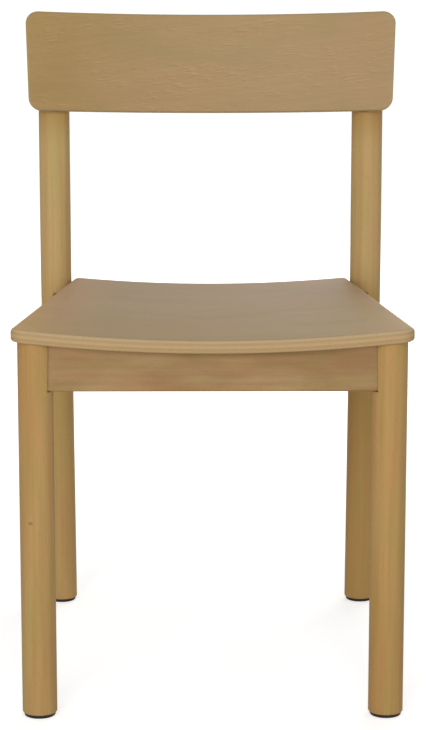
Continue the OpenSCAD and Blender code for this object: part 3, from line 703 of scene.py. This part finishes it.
# Turned brass: a warm yellow metal with fine, half-blurred marks of the tool
def machined_brass(name):
    material = bare_material(name)
    tree = material.node_tree
    place = add(tree, "ShaderNodeTexCoord").outputs["Object"]
    # Turning marks are 0.1 mm apart; they are drawn 0.5 mm apart so that they show
    spread = add(tree, "ShaderNodeMapping", {"Scale": (200, 200, 2000)}, {"Vector": place})
    marks = add(tree, "ShaderNodeTexNoise", {"Scale": 1.0, "Detail": 2}, {"Vector": spread.outputs[0]})
    colour = add(tree, "ShaderNodeValToRGB",
                 {"stops": [(0.3, linear("#B8944A")), (0.7, linear("#CDAE66"))]},
                 {"Fac": marks.outputs["Fac"]})
    gloss = add(tree, "ShaderNodeMapRange", {"To Min": 0.22, "To Max": 0.4},
                {"Value": marks.outputs["Fac"]})
    surface = add(tree, "ShaderNodeBsdfPrincipled", {"Metallic": 1.0},
                  {"Base Color": colour.outputs[0], "Roughness": gloss.outputs[0]})
    add(tree, "ShaderNodeOutputMaterial", {}, {"Surface": surface.outputs[0]})
    return material


refinish(["seat_inserts", "backrest_inserts"], machined_brass("turned_brass_insert"))


# Backrest board
# The same pressed plywood, 12 mm thick, bent to a hollow that takes the back, a little wider at its top.
# Its corners are rounded and its edges eased. It lies in the posts' housings and is bolted from behind.

BOARD_THICKNESS = 0.012
BOARD_FRONT_RADIUS = 0.655
# The flat plate's half widths along its lower and upper edge, where its corners' roundings start, how much
# narrower its back face is before it is bent, and its arris and strips
BOARD_BOTTOM_HALF = 0.238217
BOARD_TOP_HALF = 0.243039
BOARD_BOTTOM_CORNER = 0.01545
BOARD_TOP_CORNER = 0.01658
BOARD_BACK_SHARE = 0.98116
BOARD_ARRIS = 0.0025
BOARD_STRIP = 0.0125

board = plate("backrest_board_pressed", low_z=-BOARD_HEIGHT / 2, high_z=BOARD_HEIGHT / 2,
              half_widths=(BOARD_BOTTOM_HALF, BOARD_TOP_HALF), thickness=BOARD_THICKNESS,
              far_share=BOARD_BACK_SHARE, corners=(BOARD_BOTTOM_CORNER, BOARD_TOP_CORNER),
              arrises=(BOARD_ARRIS, BOARD_ARRIS), strip=BOARD_STRIP)
bend(board, -BOARD_FRONT_RADIUS)
front_face = BOARD_AXIS + Vector((0, BOARD_FRONT_RADIUS * math.cos(BOARD_RAKE),
                                  -BOARD_FRONT_RADIUS * math.sin(BOARD_RAKE)))
move_in_mesh(board, (-BOARD_RAKE, 0, 0), front_face)
smooth(board, degrees=25)
board.data.materials.append(veneered_plywood(
    "pressed_birch_plywood_board", BOARD_THICKNESS, ["#A08B60", "#A58960", "#AF9266", "#A58960", "#A08B60"],
    [(0.0, "#A28350"), (0.4, "#A18457"), (1.0, "#A4875E")],
    change=((0, 0, 1), -0.06, 0.06, (1.0, 1.01, 1.0)), pore="#7C5D34", rim_highlight_tone="#C4AB78", rough=0.55,
    shine=0.4))
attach(board, "root")
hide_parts("backrest_board")


# Bolts and plugs of the backrest
# Two zinc-plated socket bolts with washers go through each post into the board. Turned beech plugs cover
# them. The plugs are cut flush, so that they show their end grain on the back of the posts.

refinish(["backrest_bolts", "backrest_washers"], zinc)
refinish(["backrest_plugs"],
         lacquered_beech("end_grain_beech_plug", ALONG_Y, "#A58152", "#9C7646", "#7E5830"))


# Glides
# Black moulded nylon discs, 4 mm thick with a rounded rim, nailed under the feet with zinc-plated nails.
# Their undersides are scuffed by the floor.


# Moulded nylon: near black with a fine matt grain from the mould, and a little greyer where it is scuffed
def moulded_nylon(name):
    material = bare_material(name)
    tree = material.node_tree
    place = add(tree, "ShaderNodeTexCoord").outputs["Object"]
    # Mould grain of 0.2 mm, drawn at 0.6 mm, and scuffs about 8 mm long
    grain = add(tree, "ShaderNodeTexNoise", {"Scale": 1000 / 0.6, "Detail": 1}, {"Vector": place})
    scuff = add(tree, "ShaderNodeTexNoise", {"Scale": 1000 / 8, "Detail": 3, "Distortion": 1.0},
                {"Vector": place})
    wear = add(tree, "ShaderNodeMapRange", {"From Min": 0.52, "From Max": 0.72},
               {"Value": scuff.outputs["Fac"]})
    colour = add(tree, "ShaderNodeMix",
                 {"data_type": "RGBA", MIX_A: linear("#150F0A"), MIX_B: linear("#2E2823")},
                 {0: wear.outputs[0]})
    gloss = add(tree, "ShaderNodeMapRange", {"To Min": 0.42, "To Max": 0.6},
                {"Value": grain.outputs["Fac"]})
    relief = add(tree, "ShaderNodeBump", {"Strength": 0.3, "Distance": 0.0001},
                 {"Height": grain.outputs["Fac"]})
    surface = add(tree, "ShaderNodeBsdfPrincipled", {"IOR": 1.53, "Specular IOR Level": 0.25},
                  {"Base Color": colour.outputs[MIXED], "Roughness": gloss.outputs[0],
                   "Normal": relief.outputs[0]})
    add(tree, "ShaderNodeOutputMaterial", {}, {"Surface": surface.outputs[0]})
    return material


refinish(["front_left_glide", "front_right_glide", "back_left_glide", "back_right_glide"],
         moulded_nylon("black_nylon_moulded"))
refinish(["glide_nails"], zinc)


# Studio
# A wide white paper floor and an even white surround, as for a catalogue picture, with one broad soft lamp
# in front, a little above the camera and to its left, and a weaker one behind. The paper is seen as white,
# and a little less so under the chair, where it keeps the feet's soft shadows.

LAMP_AIM = Vector((0, 0, 0.45))


# 1 for rays that look at a surface, also in a reflection or through glass, and 0 for those that light it
def looked_at(tree):
    ray = add(tree, "ShaderNodeLightPath")
    seen = add(tree, "ShaderNodeMath", {"operation": "MAXIMUM"},
               {0: ray.outputs["Is Camera Ray"], 1: ray.outputs["Is Glossy Ray"]})
    return add(tree, "ShaderNodeMath", {"operation": "MAXIMUM"},
               {0: seen.outputs[0], 1: ray.outputs["Is Transmission Ray"]}).outputs[0]


bpy.ops.mesh.primitive_plane_add(size=80, location=(0, 0, 0))
floor = bpy.context.object
floor.name = "studio_floor"
paper = bare_material("white_paper_floor")
paper_tree = paper.node_tree
matt = add(paper_tree, "ShaderNodeBsdfDiffuse", {"Color": linear("#E6E6E6")})
floor_place = add(paper_tree, "ShaderNodeTexCoord").outputs["Object"]
reach = add(paper_tree, "ShaderNodeVectorMath", {"operation": "LENGTH"}, {0: floor_place})
paper_level = add(paper_tree, "ShaderNodeMapRange",
                  {"From Min": 0.4, "From Max": 1.2, "To Min": 0.53, "To Max": 0.74},
                  {"Value": reach.outputs["Value"]})
paper_glow = add(paper_tree, "ShaderNodeEmission", {"Color": (1, 1, 1, 1)},
                 {"Strength": paper_level.outputs[0]})
bright = add(paper_tree, "ShaderNodeAddShader", {}, {0: matt.outputs[0], 1: paper_glow.outputs[0]})
shown = add(paper_tree, "ShaderNodeMixShader", {},
            {0: looked_at(paper_tree), 1: matt.outputs[0], 2: bright.outputs[0]})
add(paper_tree, "ShaderNodeOutputMaterial", {}, {"Surface": shown.outputs[0]})
floor.data.materials.append(paper)

surround = bpy.data.worlds.new("white_surround")
bpy.context.scene.world = surround
surround.use_nodes = True
surround_tree = surround.node_tree
surround_tree.nodes.clear()
surround_level = add(surround_tree, "ShaderNodeMapRange", {"To Min": 0.42, "To Max": 1.0},
                     {"Value": looked_at(surround_tree)})
surround_glow = add(surround_tree, "ShaderNodeBackground", {"Color": (1, 1, 1, 1)},
                    {"Strength": surround_level.outputs[0]})
add(surround_tree, "ShaderNodeOutputWorld", {}, {"Surface": surround_glow.outputs[0]})

for name, lamp_place, watts in (("lamp_front", (-0.4, -3.2, 1.35), 72), ("lamp_back", (1.2, 3.2, 1.8), 45)):
    light = bpy.data.lights.new(name, "AREA")
    light.shape = "SQUARE"
    light.size = 2.4
    light.energy = watts
    lamp = bpy.data.objects.new(name, light)
    lamp.location = lamp_place
    lamp.rotation_euler = (LAMP_AIM - lamp.location).to_track_quat("-Z", "Y").to_euler()
    bpy.context.scene.collection.objects.link(lamp)


# Camera
# The photograph was taken with a long lens from a little above the backrest, almost square to the chair.
# The lens, the place and the angles were fitted to the outlines of the legs, the seat and the board.

view = bpy.data.cameras.new("camera")
view.sensor_width = 36
view.lens = 116.2
camera = bpy.data.objects.new("camera", view)
camera.location = (-0.01482, -2.8379, 0.9104)
camera.rotation_euler = [math.radians(angle) for angle in (90 - 10.881, 0.0015, -0.334)]
bpy.context.scene.collection.objects.link(camera)
bpy.context.scene.camera = camera
bpy.context.scene.view_settings.view_transform = "Standard"
